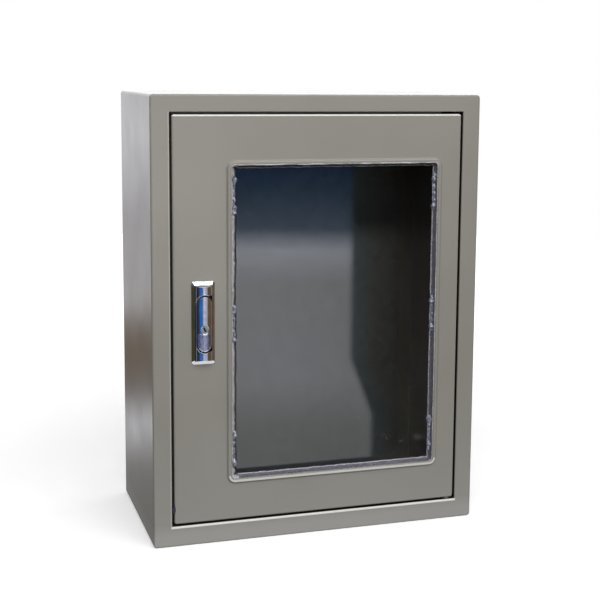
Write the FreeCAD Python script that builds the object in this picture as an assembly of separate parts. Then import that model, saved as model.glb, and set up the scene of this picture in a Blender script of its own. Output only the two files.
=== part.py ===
import FreeCAD, Part
import math
import os

# Case, folded from sheet steel (millimetres, front faces -Y, base at Z 0).
# Corner and fold radii of sheet pieces are those of the inner face.
case_w = 380.0
case_h = 500.0
case_d = 200.0
sheet = 1.5
case_corner_r = 2.5
fold_r = 0.5
border_side = 20.5
border_top = 19.0
border_bottom = 23.0
jamb_r = 1.2
stop_lip = 8.0
stop_gap = 0.4
wall_hole_r = 4.5
wall_hole_side = 14.0
wall_hole_end = 40.0

# Inset pan door
door_gap = 2.6
door_rim = 16.0
door_corner_r = 1.0
door_fold_r = 0.5

# Pivot pins and bushes at the door's right edge
hinge_pin_r = 2.5
hinge_pin_l = 12.0
hinge_collar_r = 4.2
hinge_head_r = 4.0
hinge_head_t = 1.5
hinge_bush_wall = 1.85
hinge_bush_gap = 0.5
hinge_bush_l = 14.0
lip_from_hinge = 12.0

# Window: the bead's distance from each door edge, and its section
window_left = 60.0
window_right = 23.0
window_top = 50.0
window_bottom = 42.0
bead_w = 5.0
bead_h = 2.5
bead_fullness = 0.88
pane_corner_r = 4.0
bead_foot_r = 1.2

# Clear pane, its seal and the beads of glue
pane_t = 3.0
pane_lap = 9.0
seal_t = 5.0
seal_lap = 7.0
seal_show = 4.6
glue_l = 44.0
glue_in = 1.6
glue_r = 2.8
glue_blob_r = 3.8
glue_from_end = 11.0
glue_per_side = 3

# Mounting plate on four welded studs
plate_t = 1.6
plate_inset = 3.0
plate_corner_r = 11.0
plate_standoff = 12.0
stud_from_edge = 17.0
stud_from_end = 23.0
stud_r = 3.0
stud_tip = 3.0
stud_end_r = 0.7
spacer_r = 6.0
washer_r = 6.5
washer_t = 1.2
nut_flats = 10.0
nut_t = 5.0
nut_chamfer = 0.6

# Handle: bezel and half-round ridge
handle_from_edge = 33.1
bezel_corner_r = 3.4
bezel_top_r = 1.2
bezel_edge = 1.0
bezel_rim = 3.5
bevel_side = 3.3
bevel_end = 4.0
ridge_h = 7.0
ridge_shoulder = 1.25
ridge_end = 11.0
ridge_end_slope = 1.4
block_wall = 1.9
block_inset = 5.0
block_d = 8.0
block_corner_r = 3.0
barrel_r = 7.0

# Handle: rotor and latch cam
head_d = 2.7
shaft_r = 4.5
tongue_w = 4.6
tongue_r = 1.5
pin_r = 0.9
pin_grip = 3.0
pin_up = 1.6
square_w = 6.2
thread_r = 3.0
thread_tip = 2.0
cam_t = 3.0
cam_w = 14.0
cam_hub_r = 8.0
cam_short = 1.0
cam_behind_lip = 0.5

# Handle: lever, push button and key plug
lever_l = 62.0
lever_w = 17.0
lever_under = 1.9
lever_pop = 25.0
lever_draft = 10.0
slot_heel = 2.4
plug_from_tip = 37.0
plug_r = 4.2
plug_sunk = 1.4
plug_floor = 0.5
spot_rim = 1.0
spot_sunk = 1.0
keyway_w = 2.0
keyway_l = 5.2
keyway_d = 2.1
keyway_slant = -22.0
button_rim = 1.7
button_floor = 0.5
button_travel = 1.5
button_web = 2.5
button_horn = 5.2

# Clamp behind the door
bracket_t = 1.5
bracket_leg_gap = 1.0
bracket_inset = 1.0
screw_r = 1.95
screw_from_end = 5.0
screw_head_r = 3.4
screw_head_t = 2.2
screw_slot_w = 1.0
screw_slot_d = 1.1
screw_depth = 6.0

# Clearances
run_gap = 0.05
free_gap = 0.3

# Places worked out from the sizes above
front = -case_d / 2
back = case_d / 2
right = case_w / 2
open_x0 = -right + border_side
open_x1 = right - border_side
open_z0 = border_bottom
open_z1 = case_h - border_top
jamb_d = door_rim + stop_gap + sheet
door_x0 = open_x0 + door_gap
door_x1 = open_x1 - door_gap
door_z0 = open_z0 + door_gap
door_z1 = open_z1 - door_gap
case_outer_r = case_corner_r + sheet
fold_outer_r = fold_r + sheet
door_outer_r = door_corner_r + sheet
door_edge_r = door_fold_r + sheet
hinge_bush_r = hinge_pin_r + run_gap + hinge_bush_wall
hinge_x = door_x1 - sheet - hinge_bush_gap - hinge_bush_r
hinge_y = front + sheet + hinge_bush_gap + hinge_bush_r
bead_corner_r = pane_corner_r + bead_w
bead_round = bead_fullness * min(bead_w / 2, bead_h)
bead_x0 = door_x0 + window_left
bead_x1 = door_x1 - window_right
bead_z0 = door_z0 + window_bottom
bead_z1 = door_z1 - window_top
pane_x0 = bead_x0 + bead_w
pane_x1 = bead_x1 - bead_w
pane_z0 = bead_z0 + bead_w
pane_z1 = bead_z1 - bead_w
handle_x = door_x0 + handle_from_edge
handle_z = (door_z0 + door_z1) / 2
axis_z = handle_z + lever_l / 2 - lever_w / 2
tip_z = axis_z - lever_l + lever_w
plug_z = axis_z + lever_w / 2 - plug_from_tip
ridge_half = lever_w / 2 + ridge_shoulder
ridge_top = bezel_rim + ridge_h
bezel_w = 2 * (ridge_half + bevel_side)
bezel_h = lever_l + 2 * (ridge_end + bevel_end)
lever_low = bezel_rim + lever_under
seat_top = lever_low - free_gap
head_r = lever_w / 2
pin_end = tongue_w / 2 + free_gap + pin_grip
pin_height = lever_low + pin_up
slot_roof = pin_height + tongue_r + free_gap
plug_face = ridge_top - plug_sunk
block_w = 2 * (head_r + free_gap + block_wall)
block_h = bezel_h - 2 * block_inset
cam_front = jamb_d + cam_behind_lip
barrel_end = cam_front - free_gap

X = FreeCAD.Vector(1, 0, 0)
Y = FreeCAD.Vector(0, 1, 0)
Z = FreeCAD.Vector(0, 0, 1)


def point(x, y, z):
    return FreeCAD.Vector(x, y, z)


def out(height):
    """Depth coordinate of a plane this far in front of the door's face."""
    return front - height


def rounded_wire(x0, x1, z0, z1, r, y):
    """Upright rounded rectangle in the plane at depth y."""
    corners = [(x1 - r, z0 + r, -45), (x1 - r, z1 - r, 45), (x0 + r, z1 - r, 135), (x0 + r, z0 + r, 225)]
    arcs = []
    for x, z, middle in corners:
        turns = [math.radians(middle + step) for step in (-45, 0, 45)]
        ends = [point(x + r * math.cos(t), y, z + r * math.sin(t)) for t in turns]
        arcs.append(Part.Arc(*ends))
    edges = []
    for i, arc in enumerate(arcs):
        edges.append(Part.LineSegment(arcs[i - 1].EndPoint, arc.StartPoint).toShape())
        edges.append(arc.toShape())
    return Part.Wire(edges)


def slab(x0, x1, z0, z1, r, y0, y1):
    """Upright plate with rounded corners between two depths."""
    face = Part.Face(rounded_wire(x0, x1, z0, z1, r, y0))
    return face.extrude(Y * (y1 - y0))


def block(x0, x1, y0, y1, z0, z1):
    return Part.makeBox(x1 - x0, y1 - y0, z1 - z0, point(x0, y0, z0))


def rod(r, x, z, y0, y1):
    """Round bar along Y."""
    return Part.makeCylinder(r, y1 - y0, point(x, y0, z), Y)


def post(r, x, y, z0, z1):
    """Round bar along Z."""
    return Part.makeCylinder(r, z1 - z0, point(x, y, z0), Z)


def round_edges(solid, r, y, x_limit):
    """Fillet the edges lying flat at depth y within x_limit of the middle."""
    near = 0.001
    edges = []
    for edge in solid.Edges:
        box = edge.BoundBox
        flat = abs(box.YMin - y) < near and abs(box.YMax - y) < near
        if flat and max(abs(box.XMin), abs(box.XMax)) < x_limit:
            edges.append(edge)
    return solid.makeFillet(r, edges)


def save(name, shape):
    shape.exportStep("parts/" + name + ".step")


def hex_nut(x, z, y0):
    """Hexagon nut along Y, its corners turned off at both ends."""
    reach = nut_flats / math.sqrt(3)
    turns = [math.radians(60 * i) for i in range(7)]
    corners = [point(x + reach * math.cos(t), y0, z + reach * math.sin(t)) for t in turns]
    turned = rod(reach, x, z, y0, y0 + nut_t)
    turned = turned.makeChamfer(nut_chamfer, [edge for edge in turned.Edges if edge.isClosed()])
    return Part.Face(Part.makePolygon(corners)).extrude(Y * nut_t).common(turned)


def plate_studs_at():
    """Centres of the four studs that carry the mounting plate."""
    side = plate_inset + stud_from_edge
    end = plate_inset + stud_from_end
    return [(x, z) for x in (open_x0 + side, open_x1 - side) for z in (open_z0 + end, open_z1 - end)]


def wall_holes_at():
    half = case_w / 2 - wall_hole_side
    return [(x, z) for x in (-half, half) for z in (wall_hole_end, case_h - wall_hole_end)]


def case_shell():
    """Case folded from one sheet: back, four walls, front border, jamb and stop lip."""
    shell = slab(-right, right, 0, case_h, case_outer_r, front, back)
    shell = round_edges(shell, fold_outer_r, front, case_w)
    shell = round_edges(shell, fold_outer_r, back, case_w)
    room = slab(-right + sheet, right - sheet, sheet, case_h - sheet, case_corner_r,
                front + sheet, back - sheet)
    room = round_edges(room, fold_r, front + sheet, case_w)
    room = round_edges(room, fold_r, back - sheet, case_w)
    shell = shell.cut(room)
    jamb = slab(open_x0 - sheet, open_x1 + sheet, open_z0 - sheet, open_z1 + sheet, jamb_r + sheet,
                front, front + jamb_d)
    mouth = slab(open_x0, open_x1, open_z0, open_z1, jamb_r, front - sheet, front + jamb_d - sheet)
    throat = slab(open_x0 + stop_lip, open_x1, open_z0 + stop_lip, open_z1 - stop_lip, jamb_r,
                  front, front + jamb_d + sheet)
    swing = block(hinge_x - lip_from_hinge, open_x1, front, front + jamb_d + sheet, open_z0, open_z1)
    shell = shell.fuse(jamb).cut(mouth).cut(throat).cut(swing).removeSplitter()
    shell = round_edges(shell, jamb_r, front, open_x1 + sheet)
    for x, z in wall_holes_at():
        shell = shell.cut(rod(wall_hole_r, x, z, back - sheet, back))
    return shell.cut(post(hinge_pin_r, hinge_x, hinge_y, open_z0 - sheet, open_z1 + sheet))


def mounting_plate():
    y0 = back - sheet - plate_standoff - plate_t
    plate = slab(open_x0 + plate_inset, open_x1 - plate_inset, open_z0 + plate_inset, open_z1 - plate_inset,
                 plate_corner_r, y0, y0 + plate_t)
    for x, z in plate_studs_at():
        plate = plate.cut(rod(stud_r + run_gap, x, z, y0, y0 + plate_t))
    return plate


def plate_fixings():
    """Studs, spacers, washers and nuts, each as a group of four."""
    wall = back - sheet
    plate_back = wall - plate_standoff
    plate_front = plate_back - plate_t
    washer_front = plate_front - washer_t
    nut_front = washer_front - nut_t
    stud_front = nut_front - stud_tip
    groups = {"plate_studs": [], "plate_spacers": [], "plate_washers": [], "plate_nuts": []}
    for x, z in plate_studs_at():
        hole = rod(stud_r + run_gap, x, z, nut_front, wall)
        stud = round_edges(rod(stud_r, x, z, stud_front, wall), stud_end_r, stud_front, case_w)
        groups["plate_studs"].append(stud)
        groups["plate_spacers"].append(rod(spacer_r, x, z, plate_back, wall).cut(hole))
        groups["plate_washers"].append(rod(washer_r, x, z, washer_front, plate_front).cut(hole))
        groups["plate_nuts"].append(hex_nut(x, z, nut_front).cut(hole))
    return {name: Part.makeCompound(solids) for name, solids in groups.items()}


def upright(r, z_from, z_to):
    """Round bar on the hinge axis between two heights given in either order."""
    return post(r, hinge_x, hinge_y, min(z_from, z_to), max(z_from, z_to))


def hinge_pins():
    """Shoulder pins riveted through the jamb."""
    pins = []
    for jamb_z, door_z, way in ((open_z0, door_z0, -1), (open_z1, door_z1, 1)):
        outside = jamb_z + way * sheet
        pin = upright(hinge_pin_r, door_z - way * hinge_pin_l, outside)
        pin = pin.fuse(upright(hinge_collar_r, door_z + way * free_gap, jamb_z))
        pins.append(pin.fuse(upright(hinge_head_r, outside, outside + way * hinge_head_t)).removeSplitter())
    return Part.makeCompound(pins)


def hinge_bushes():
    """Blocks in the door's corners that turn on the pins."""
    bushes = []
    wall_x = door_x1 - door_outer_r
    face_y = front + door_edge_r
    for door_z, way in ((door_z0, -1), (door_z1, 1)):
        z_from = door_z - way * sheet
        z_to = z_from - way * hinge_bush_l
        low = min(z_from, z_to)
        body = block(hinge_x - hinge_bush_r, wall_x, face_y, hinge_y, low, low + hinge_bush_l)
        body = body.fuse(upright(hinge_bush_r, z_from, z_to)).removeSplitter()
        bushes.append(body.cut(upright(hinge_pin_r + run_gap, z_from, z_to)))
    return Part.makeCompound(bushes)


def door_panel():
    """Pan door with a bead pressed out round the window and a cut-out for the handle."""
    pan = slab(door_x0, door_x1, door_z0, door_z1, door_outer_r, front, front + door_rim)
    pan = round_edges(pan, door_edge_r, front, case_w)
    hollow = slab(door_x0 + sheet, door_x1 - sheet, door_z0 + sheet, door_z1 - sheet, door_corner_r,
                  front + sheet, front + door_rim + sheet)
    hollow = round_edges(hollow, door_fold_r, front + sheet, case_w)
    pan = pan.cut(hollow)
    bead = slab(bead_x0, bead_x1, bead_z0, bead_z1, bead_corner_r, out(bead_h), front + sheet)
    bead = round_edges(bead, bead_round, out(bead_h), case_w)
    pan = pan.fuse(bead).removeSplitter()
    pan = round_edges(pan, bead_foot_r, front, bead_x1 + sheet)
    light = slab(pane_x0, pane_x1, pane_z0, pane_z1, pane_corner_r, out(bead_h + sheet), front + sheet)
    pan = pan.cut(light)
    pan = round_edges(pan, bead_round, out(bead_h), pane_x1 + sheet / 2)
    groove = slab(bead_x0 + sheet, bead_x1 - sheet, bead_z0 + sheet, bead_z1 - sheet, bead_corner_r - sheet,
                  out(bead_h - sheet), front + sheet)
    core = slab(pane_x0 - sheet, pane_x1 + sheet, pane_z0 - sheet, pane_z1 + sheet,
                pane_corner_r + sheet, out(bead_h), front + sheet)
    pan = pan.cut(groove.cut(core))
    half_w = block_w / 2 + free_gap
    half_h = block_h / 2 + free_gap
    pan = pan.cut(slab(handle_x - half_w, handle_x + half_w, handle_z - half_h, handle_z + half_h,
                       block_corner_r + free_gap, front - sheet, front + sheet))
    return pan.cut(upright(hinge_pin_r + free_gap, door_z0, door_z1))


def window_pane():
    y0 = front + sheet + seal_t
    return slab(pane_x0 - pane_lap, pane_x1 + pane_lap, pane_z0 - pane_lap, pane_z1 + pane_lap,
                pane_lap, y0, y0 + pane_t)


def pane_sealant():
    """Ring behind the sheet, wiped to a slope from the opening's edge down to the pane."""
    y0 = front + sheet
    y1 = y0 + seal_t
    ring = slab(pane_x0 - seal_lap, pane_x1 + seal_lap, pane_z0 - seal_lap, pane_z1 + seal_lap,
                seal_lap, y0, y1)
    edge = rounded_wire(pane_x0, pane_x1, pane_z0, pane_z1, pane_corner_r, y0)
    foot = rounded_wire(pane_x0 + seal_show, pane_x1 - seal_show, pane_z0 + seal_show, pane_z1 - seal_show,
                        pane_corner_r, y1)
    return ring.cut(Part.makeLoft([edge, foot], True, True))


def glue_beads():
    """Short beads laid on the seal's slope beside the sheet's edge, with a blob at each end."""
    seal = pane_sealant()
    pane_y = front + sheet + seal_t
    slope_y = pane_y - seal_t / 2
    first = pane_z0 + glue_from_end + glue_l / 2
    last = pane_z1 - glue_from_end - glue_l / 2
    step = (last - first) / (glue_per_side - 1)
    beads = []
    for edge, way in ((pane_x0, 1), (pane_x1, -1)):
        x = edge + way * glue_in
        for i in range(glue_per_side):
            z = first + i * step
            reach = glue_l / 2 - glue_blob_r
            bead = post(glue_r, x, slope_y, z - reach, z + reach)
            for end in (z - reach, z + reach):
                bead = bead.fuse(Part.makeSphere(glue_blob_r, point(x, slope_y, end)))
            far = edge + way * 2 * glue_blob_r
            room = block(min(edge, far), max(edge, far), front, pane_y, z - glue_l, z + glue_l)
            beads.append(bead.common(room).cut(seal).removeSplitter())
    return Part.makeCompound(beads)


def ridge_bar(low, z0, z1):
    """Half-round bar of the handle from a given height up to the crest."""
    left = handle_x - ridge_half
    far = handle_x + ridge_half
    a = point(left, out(low), z0)
    b = point(left, out(bezel_rim), z0)
    crest = point(handle_x, out(ridge_top), z0)
    c = point(far, out(bezel_rim), z0)
    d = point(far, out(low), z0)
    edges = [Part.LineSegment(a, b).toShape(), Part.Arc(b, crest, c).toShape()]
    edges += [Part.LineSegment(c, d).toShape(), Part.LineSegment(d, a).toShape()]
    return Part.Face(Part.Wire(edges)).extrude(Z * (z1 - z0))


def stadium(half, y0, y1):
    """Bar with round ends at the turning axis and at the tip, its walls square to the door."""
    bar = block(handle_x - half, handle_x + half, y0, y1, tip_z, axis_z)
    return bar.fuse([rod(half, handle_x, z, y0, y1) for z in (tip_z, axis_z)]).removeSplitter()


def leaning_stadium(half, low, high, lean):
    """Such a bar between two heights, its walls leaning outwards by an angle."""
    top_half = half + (high - low) * math.tan(math.radians(lean))
    corners = [(-half, low), (half, low), (top_half, high), (-top_half, high), (-half, low)]
    section = Part.makePolygon([point(handle_x + x, out(height), tip_z) for x, height in corners])
    bar = Part.Face(section).extrude(Z * (axis_z - tip_z))
    for z in (tip_z, axis_z):
        bar = bar.fuse(Part.makeCone(half, top_half, high - low, point(handle_x, out(low), z), -Y))
    return bar.removeSplitter()


def lever_room():
    """Space above the seat that the lever fills and sweeps through."""
    top = ridge_top + ridge_h
    half = lever_w / 2 + free_gap
    room = leaning_stadium(half, seat_top, top, lever_draft)
    reach = axis_z - tip_z + half
    quarter = block(handle_x, handle_x + reach, out(top), out(seat_top), axis_z - reach, axis_z + half)
    return room.fuse(rod(reach, handle_x, axis_z, out(top), out(seat_top)).common(quarter))


def handle_base():
    """Die-cast bezel with bevelled rim and half-round ridge, rear block and shaft barrel."""
    x0 = handle_x - bezel_w / 2
    x1 = handle_x + bezel_w / 2
    z0 = handle_z - bezel_h / 2
    z1 = handle_z + bezel_h / 2
    base = slab(x0, x1, z0, z1, bezel_corner_r, out(bezel_edge), front)
    low = rounded_wire(x0, x1, z0, z1, bezel_corner_r, out(bezel_edge))
    high = rounded_wire(x0 + bevel_side, x1 - bevel_side, z0 + bevel_end, z1 - bevel_end, bezel_top_r,
                        out(bezel_rim))
    base = base.fuse(Part.makeLoft([low, high], True, True))
    ridge = ridge_bar(bezel_edge, z0 + bevel_end, z1 - bevel_end)
    rise = ridge_end_slope
    ends = [
        point(x0, out(bezel_edge), z0 + bevel_end), point(x0, out(bezel_rim), z0 + bevel_end),
        point(x0, out(ridge_top), z0 + bevel_end + rise), point(x0, out(ridge_top), z1 - bevel_end - rise),
        point(x0, out(bezel_rim), z1 - bevel_end), point(x0, out(bezel_edge), z1 - bevel_end),
    ]
    slope = Part.Face(Part.makePolygon(ends + ends[:1])).extrude(X * bezel_w)
    base = base.fuse(ridge.common(slope)).removeSplitter()
    base = base.cut(lever_room())
    base = base.fuse(slab(handle_x - block_w / 2, handle_x + block_w / 2, handle_z - block_h / 2,
                          handle_z + block_h / 2, block_corner_r, front, out(-block_d)))
    base = base.fuse(rod(barrel_r, handle_x, axis_z, front, out(-barrel_end))).removeSplitter()
    base = base.cut(rod(head_r + free_gap, handle_x, axis_z, out(seat_top), out(-head_d - free_gap)))
    base = base.cut(rod(shaft_r + run_gap, handle_x, axis_z, front, out(-barrel_end)))
    for z in screws_at():
        base = base.cut(rod(screw_r + run_gap, handle_x, z, out(screw_depth - block_d), out(-block_d)))
    return base


def screws_at():
    reach = block_h / 2 - screw_from_end
    return [handle_z - reach, handle_z + reach]


def handle_bracket():
    """Channel that clamps the base against the back of the door."""
    inner = block_w / 2 + bracket_leg_gap
    outer = inner + bracket_t
    web = -block_d
    z0 = handle_z - block_h / 2 + bracket_inset
    z1 = handle_z + block_h / 2 - bracket_inset
    channel = block(handle_x - outer, handle_x + outer, front + sheet, out(web - bracket_t), z0, z1)
    channel = channel.cut(block(handle_x - inner, handle_x + inner, front + sheet, out(web), z0, z1))
    channel = channel.cut(rod(barrel_r + free_gap, handle_x, axis_z, out(web), out(web - bracket_t)))
    for z in screws_at():
        channel = channel.cut(rod(screw_r + run_gap, handle_x, z, out(web), out(web - bracket_t)))
    return channel


def bracket_screws():
    """Two slotted screws with domed heads, driven from behind into the base."""
    seat = block_d + bracket_t
    head_end = seat + screw_head_t
    screws = []
    for z in screws_at():
        shank = rod(screw_r, handle_x, z, out(screw_depth - block_d), out(-seat))
        head = rod(screw_head_r, handle_x, z, out(-seat), out(-head_end))
        head = round_edges(head, screw_head_t / 2, out(-head_end), case_w)
        slot = block(handle_x - screw_head_r, handle_x + screw_head_r, out(screw_slot_d - head_end),
                     out(-head_end), z - screw_slot_w / 2, z + screw_slot_w / 2)
        screws.append(shank.fuse(head).removeSplitter().cut(slot))
    return Part.makeCompound(screws)


def lever_pin_bar(r, x0, x1):
    start = point(handle_x + x0, out(pin_height), axis_z)
    return Part.makeCylinder(r, x1 - x0, start, X)


def handle_rotor():
    """Shaft with a round head, a tongue for the lever's pin and a square for the cam."""
    rotor = rod(head_r, handle_x, axis_z, out(seat_top), out(-head_d))
    under = pin_height - lever_low + free_gap
    heel = block(handle_x - head_r, handle_x + head_r, out(ridge_top), out(pin_height - under),
                 axis_z - head_r, axis_z + 2 * head_r)
    heel.rotate(point(handle_x, out(pin_height), axis_z), X, -lever_pop)
    rotor = rotor.cut(heel)
    tongue = block(handle_x - tongue_w / 2, handle_x + tongue_w / 2, out(pin_height), front,
                   axis_z - tongue_r, axis_z + tongue_r)
    rotor = rotor.fuse([tongue, lever_pin_bar(tongue_r, -tongue_w / 2, tongue_w / 2)])
    rotor = rotor.fuse(rod(shaft_r, handle_x, axis_z, front, out(-cam_front)))
    half = square_w / 2
    rotor = rotor.fuse(block(handle_x - half, handle_x + half, out(-cam_front), out(-cam_front - cam_t),
                             axis_z - half, axis_z + half))
    thread_end = cam_front + cam_t + washer_t + nut_t + thread_tip
    rotor = rotor.fuse(rod(thread_r, handle_x, axis_z, out(-cam_front), out(-thread_end))).removeSplitter()
    return rotor.cut(lever_pin_bar(pin_r + run_gap, -tongue_w, tongue_w))


def cam_parts():
    """Latch cam, washer and nut on the rotor's rear end."""
    y0 = out(-cam_front)
    y1 = y0 + cam_t
    y2 = y1 + washer_t
    y3 = y2 + nut_t
    end_x = open_x0 + stop_lip + cam_short
    cam = slab(end_x, handle_x, axis_z - cam_w / 2, axis_z + cam_w / 2, cam_w / 4, y0, y1)
    cam = cam.fuse(rod(cam_hub_r, handle_x, axis_z, y0, y1)).removeSplitter()
    half = square_w / 2 + run_gap
    cam = cam.cut(block(handle_x - half, handle_x + half, y0, y1, axis_z - half, axis_z + half))
    hole = rod(thread_r + run_gap, handle_x, axis_z, y0, y3)
    washer = rod(washer_r, handle_x, axis_z, y1, y2).cut(hole)
    return {"cam": cam, "cam_washer": washer, "cam_nut": hex_nut(handle_x, axis_z, y2).cut(hole)}


def button_outline(grow, y0, y1):
    """Outline of the push button: the lever's tip, hollowed round the key plug."""
    half = lever_w / 2 - button_rim - free_gap + grow
    outline = stadium(half, y0, y1)
    outline = outline.cut(rod(plug_r + button_web - grow, handle_x, plug_z, y0, y1))
    return outline.common(block(handle_x - lever_w, handle_x + lever_w, y0, y1, tip_z - lever_w,
                                plug_z - button_horn + grow))


def handle_lever():
    """Half-round lever with round ends, a slot for the tongue, a plug bore and a button pocket."""
    crest = out(ridge_top)
    low = out(lever_low)
    lever = leaning_stadium(lever_w / 2, lever_low, ridge_top, -lever_draft)
    lever = lever.common(ridge_bar(bezel_edge, tip_z - lever_w, axis_z + lever_w))
    slot_half = tongue_w / 2 + free_gap
    lever = lever.cut(block(handle_x - slot_half, handle_x + slot_half, out(slot_roof), low,
                            axis_z - tongue_r - free_gap, axis_z + tongue_r + slot_heel))
    lever = lever.cut(lever_pin_bar(pin_r + run_gap, -pin_end, lever_w))
    bore_r = plug_r + run_gap
    lever = lever.cut(rod(bore_r, handle_x, plug_z, crest, out(lever_low + plug_floor)))
    lever = lever.cut(Part.makeCone(bore_r, bore_r + spot_rim, spot_sunk,
                                    point(handle_x, out(ridge_top - spot_sunk), plug_z), -Y))
    return lever.cut(button_outline(free_gap, crest, out(lever_low + button_floor)))


def lever_pin():
    """Pin pressed in from the right, its end dressed flush with the half-round face."""
    pin = lever_pin_bar(pin_r, -pin_end, lever_w)
    return pin.common(ridge_bar(bezel_edge, tip_z, axis_z + lever_w))


def push_button():
    """Button in the lever's tip, level with its half-round face."""
    low = lever_low + button_floor + free_gap + button_travel
    button = button_outline(0, out(ridge_top), out(low))
    return button.common(ridge_bar(bezel_edge, tip_z - lever_w, plug_z))


def key_plug():
    """Round lock plug with a slanted keyway."""
    plug = rod(plug_r, handle_x, plug_z, out(plug_face), out(lever_low + plug_floor + free_gap))
    plug = round_edges(plug, free_gap, out(plug_face), case_w)
    keyway = block(handle_x - keyway_w / 2, handle_x + keyway_w / 2, out(plug_face),
                   out(plug_face - keyway_d), plug_z - keyway_l / 2, plug_z + keyway_l / 2)
    keyway.rotate(point(handle_x, front, plug_z), Y, keyway_slant)
    return plug.cut(keyway)


os.makedirs("parts", exist_ok=True)
nodes = {
    "case_shell": case_shell(),
    "mounting_plate": mounting_plate(),
    "hinge_pins": hinge_pins(),
    "hinge_bushes": hinge_bushes(),
    "door_panel": door_panel(),
    "window_pane": window_pane(),
    "pane_sealant": pane_sealant(),
    "glue_beads": glue_beads(),
    "handle_base": handle_base(),
    "handle_bracket": handle_bracket(),
    "bracket_screws": bracket_screws(),
    "handle_rotor": handle_rotor(),
    "handle_lever": handle_lever(),
    "lever_pin": lever_pin(),
    "push_button": push_button(),
    "key_plug": key_plug(),
}
nodes.update(plate_fixings())
nodes.update(cam_parts())
for name, shape in nodes.items():
    save(name, shape)
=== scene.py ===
import math

import bmesh
import bpy
from mathutils import Matrix, Vector, noise


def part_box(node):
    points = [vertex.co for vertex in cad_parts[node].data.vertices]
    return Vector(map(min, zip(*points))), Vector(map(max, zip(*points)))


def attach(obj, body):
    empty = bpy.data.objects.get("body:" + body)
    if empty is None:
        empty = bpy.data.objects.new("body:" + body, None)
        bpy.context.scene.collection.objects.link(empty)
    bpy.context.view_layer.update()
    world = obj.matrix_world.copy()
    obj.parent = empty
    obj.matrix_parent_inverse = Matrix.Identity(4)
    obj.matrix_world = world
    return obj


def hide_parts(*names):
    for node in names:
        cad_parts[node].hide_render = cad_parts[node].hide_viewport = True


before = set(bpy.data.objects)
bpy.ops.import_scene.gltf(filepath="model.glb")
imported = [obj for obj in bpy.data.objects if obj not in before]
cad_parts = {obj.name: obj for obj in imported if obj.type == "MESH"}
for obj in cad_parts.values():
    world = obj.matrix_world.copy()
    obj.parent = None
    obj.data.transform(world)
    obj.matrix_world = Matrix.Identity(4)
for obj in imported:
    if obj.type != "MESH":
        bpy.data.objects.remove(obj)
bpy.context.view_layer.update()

# Case: back, walls, front border and jamb folded from 1.5 mm sheet steel and welded at
# the corners, then powder coated stone grey inside and out and baked.

MM = 0.001


def linear(colour):
    """sRGB hex colour as linear red, green, blue and alpha."""
    shares = [int(colour[i:i + 2], 16) / 255 for i in (1, 3, 5)]
    return (*[c / 12.92 if c <= 0.04045 else ((c + 0.055) / 1.055) ** 2.4 for c in shares], 1.0)


def add(tree, kind, wires, **settings):
    """Adds a node, or takes one that is there: wires gives its inputs a value or another node's output."""
    made = tree.nodes.new("ShaderNode" + kind) if isinstance(kind, str) else kind
    stops = settings.pop("stops", [])
    for name, value in settings.items():
        setattr(made, name, value)
    for i, (place, colour) in enumerate(stops):
        stop = made.color_ramp.elements[i] if i < 2 else made.color_ramp.elements.new(place)
        stop.position = place
        stop.color = colour if isinstance(colour, tuple) else (colour, colour, colour, 1.0)
    for name, value in wires.items():
        if isinstance(value, bpy.types.NodeSocket):
            tree.links.new(value, made.inputs[name])
        else:
            made.inputs[name].default_value = value
    return made


def new_finish(name):
    """A new material: the material, its tree, its shader and the piece's own coordinates in metres."""
    made = bpy.data.materials.new(name)
    made.use_nodes = True
    tree = made.node_tree
    return made, tree, tree.nodes["Principled BSDF"], add(tree, "TexCoord", {}).outputs["Object"]


def dress(finish, *names):
    """Gives CAD nodes their material."""
    for name in names:
        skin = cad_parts[name].data.materials
        skin.clear()
        skin.append(finish)


# Baked powder coat is a smooth, slightly wavy skin: an even warm grey with a soft gloss, a faint
# orange peel and wiped patches. It is painted dark as shade in the door's gap, painted lighter near
# the floor as light bounced from it, and painted pale as highlights on the edges that meet in the
# gap and on the window's bead.
paint_peel = 2.6 * MM       # real peel is about 1.5 mm, drawn coarser so that it shows
paint_peel_height = 0.012 * MM
paint_clouds = 150 * MM
paint_wipes = 60 * MM
paint_edge = 1.3 * MM       # the coat draws round over cut and folded edges
edge_samples = 6
gap_shade_depth = 14 * MM       # how far the painted shade reaches into the gap round the door
gap_shade_middle = 1.0 * MM     # where it lies, past the door's edge
gap_shade_half = 2.0 * MM       # and how far to both sides of that
bounce_top = 26 * MM          # painted light from the floor reaches below this height
bounce_full = 12 * MM         # and is strongest below this one
highlight_depth = 1.6 * MM        # painted highlight lines lie within this of the front
crest_depth = 0.16 * MM     # and the bead's crest within this of its top
door_low, door_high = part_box("door_panel")
door_middle = (door_low + door_high) / 2
door_half = (door_high - door_low) / 2
case_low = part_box("case_shell")[0]

paint, tree, shader, place = new_finish("powder_coat_stone_grey_semi_gloss")
clouds = add(tree, "TexNoise", {"Vector": place, "Scale": 1 / paint_clouds, "Detail": 2.0})
tone = add(tree, "ValToRGB", {"Fac": clouds.outputs["Fac"]},
           stops=[(0.35, linear("#87857d")), (0.65, linear("#8c8a82"))])
wipes = add(tree, "TexNoise", {"Vector": place, "Scale": 1 / paint_wipes, "Detail": 3.0})
gloss = add(tree, "MapRange", {"Value": wipes.outputs["Fac"], "From Min": 0.3, "From Max": 0.7,
                               "To Min": 0.17, "To Max": 0.24})
peel = add(tree, "TexNoise", {"Vector": place, "Scale": 1 / paint_peel, "Detail": 1.0})
soft_edge = add(tree, "Bevel", {"Radius": paint_edge}, samples=edge_samples)
at = add(tree, "SeparateXYZ", {0: place})
offset = add(tree, "VectorMath", {0: place, 1: tuple(door_middle)}, operation="SUBTRACT")
offset = add(tree, "VectorMath", {0: offset.outputs["Vector"]}, operation="ABSOLUTE")
offset = add(tree, "VectorMath", {0: offset.outputs["Vector"], 1: tuple(door_half)}, operation="SUBTRACT")
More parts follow.
